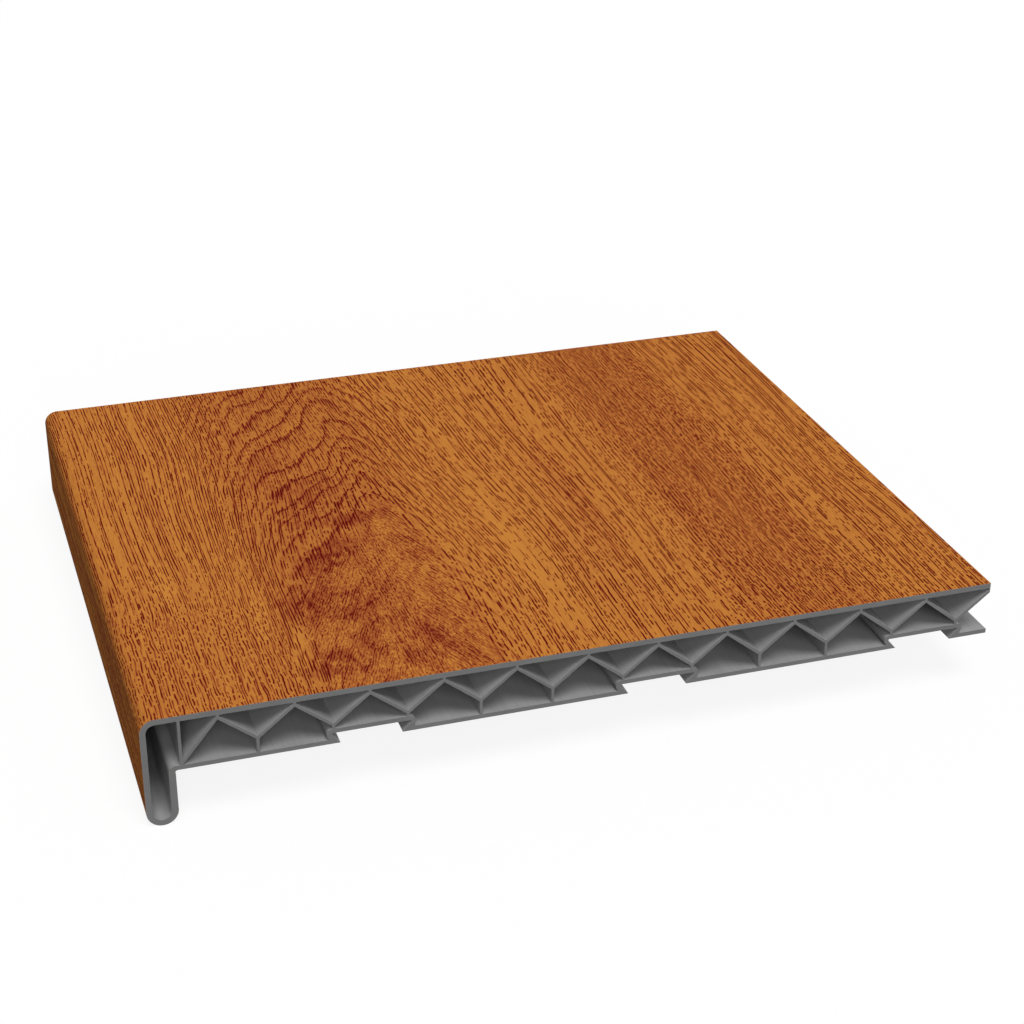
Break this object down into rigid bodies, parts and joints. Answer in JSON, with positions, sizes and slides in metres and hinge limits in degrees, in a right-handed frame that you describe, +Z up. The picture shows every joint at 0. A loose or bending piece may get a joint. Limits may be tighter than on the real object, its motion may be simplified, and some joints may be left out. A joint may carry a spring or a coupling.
{
  "type": "window sill board",
  "caption": "Hollow extruded PVC window sill board with a rounded drop nose, zigzag inner webs, dovetail grooves underneath and a wood decor foil on its top and nose.",
  "frame": {"origin": "below the middle of the board, level with the bottom of the nose", "axes": "+X from the nose to the rear edge (depth), +Y along the length of the extrusion, +Z up out of the decor face"},
  "size_m": [0.3, 0.25, 0.04],
  "materials": {
    "grey_pvc": "sawn, matt mid-grey extruded PVC",
    "wood_decor": "satin golden-brown wood decor foil with dark pores and fine grain relief"
  },
  "bodies": {
    "root": {"pvc_profile": "grey_pvc", "decor_foil": "wood_decor"}
  },
  "joints": []
}
